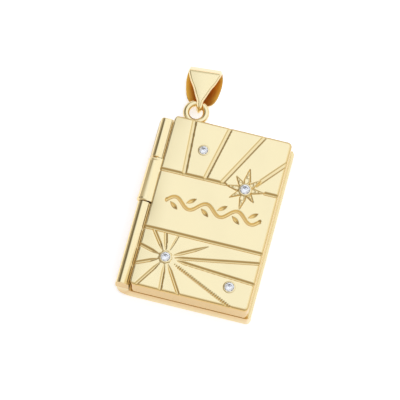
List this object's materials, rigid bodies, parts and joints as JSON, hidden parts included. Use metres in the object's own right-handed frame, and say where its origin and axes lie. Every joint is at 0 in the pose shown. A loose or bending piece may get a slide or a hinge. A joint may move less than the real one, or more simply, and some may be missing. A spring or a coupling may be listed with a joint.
{
  "type": "book locket pendant",
  "caption": "Hinged book-shaped locket of gold-plated brass with an engraved cover, small clear stones, a hanging ring and a folded bail.",
  "frame": {"origin": "middle of the case's back face, under the middle of the front cover", "axes": "+X to the right across the cover, +Y up the cover to the bail, +Z out of the cover's face; the locket lies on its back at z = 0"},
  "size_m": [0.0153, 0.0274, 0.0048],
  "materials": {
    "gold_plated_brass": "polished pale gold plating",
    "clear_stone": "cut and polished"
  },
  "bodies": {
    "case": {"back_case": "gold_plated_brass", "hinge_pin": "gold_plated_brass"},
    "cover": {"front_cover": "gold_plated_brass", "stone_upper": "clear_stone", "stone_star": "clear_stone", "stone_burst": "clear_stone", "stone_lower": "clear_stone"},
    "bail": {"bail": "gold_plated_brass"}
  },
  "joints": [
    {"name": "cover_hinge", "type": "hinge", "parent": "case", "child": "cover", "pos_m": [-0.00755, 0, 0.0035], "axis": [0, -1, 0], "range_deg": [0, 180]},
    {"name": "bail_swing", "type": "hinge", "parent": "case", "child": "bail", "pos_m": [-0.00464, 0.01294, 0.00147], "axis": [0.9962, 0.0872, 0], "range_deg": [-62, 88]}
  ]
}
